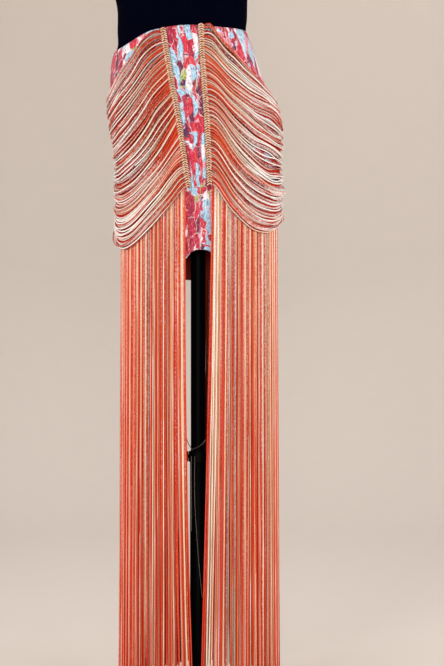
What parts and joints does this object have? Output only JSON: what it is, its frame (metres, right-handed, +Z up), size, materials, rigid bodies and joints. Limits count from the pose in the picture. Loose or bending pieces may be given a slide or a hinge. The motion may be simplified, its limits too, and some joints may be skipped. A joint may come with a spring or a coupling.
{
  "type": "fringe skirt on a dress form stand",
  "caption": "Printed stretch mini skirt dressed with draped yarn swags and floor-length yarn fringe, worn by a black limbless dress form on a pole stand with a round base.",
  "frame": {"origin": "on the floor, at the centre of the round base plate's underside", "axes": "+Z up, the skirt's front faces -Y, +X to the right as seen from the front"},
  "size_m": [0.45, 0.45, 1.768],
  "materials": {
    "base": "satin black",
    "pole": "satin black",
    "collar": "black",
    "knob": "black",
    "form": "black jersey over a padded shell",
    "cloth": "printed stretch jersey in pale blue, crimson, white and pale green",
    "swag_yarn": "twisted variegated yarn in cream, coral and pink",
    "fringe_yarn": "twisted variegated yarn in orange-red, coral, beige and pink"
  },
  "bodies": {
    "stand": {"base_plate": "base", "pole_lower": "pole", "clamp_collar": "collar"},
    "knob": {"clamp_knob": "knob"},
    "riser": {"pole_upper": "pole"},
    "form": {"torso": "form", "panel_centre_front": "cloth", "panel_front_left": "cloth", "panel_front_right": "cloth", "panel_back": "cloth", "swags_left": "swag_yarn", "swags_right": "swag_yarn", "fringe_left": "fringe_yarn", "fringe_right": "fringe_yarn"}
  },
  "joints": [
    {"name": "height_slide", "type": "slide", "parent": "stand", "child": "riser", "axis": [0, 0, 1], "range_m": [0, 0.12]},
    {"name": "form_swivel", "type": "hinge", "parent": "riser", "child": "form", "pos_m": [0, 0, 1.05], "axis": [0, 0, 1], "continuous": true},
    {"name": "knob_turn", "type": "hinge", "parent": "stand", "child": "knob", "pos_m": [-0.022, 0, 0.49], "axis": [-1, 0, 0], "range_deg": [-180, 180]}
  ]
}
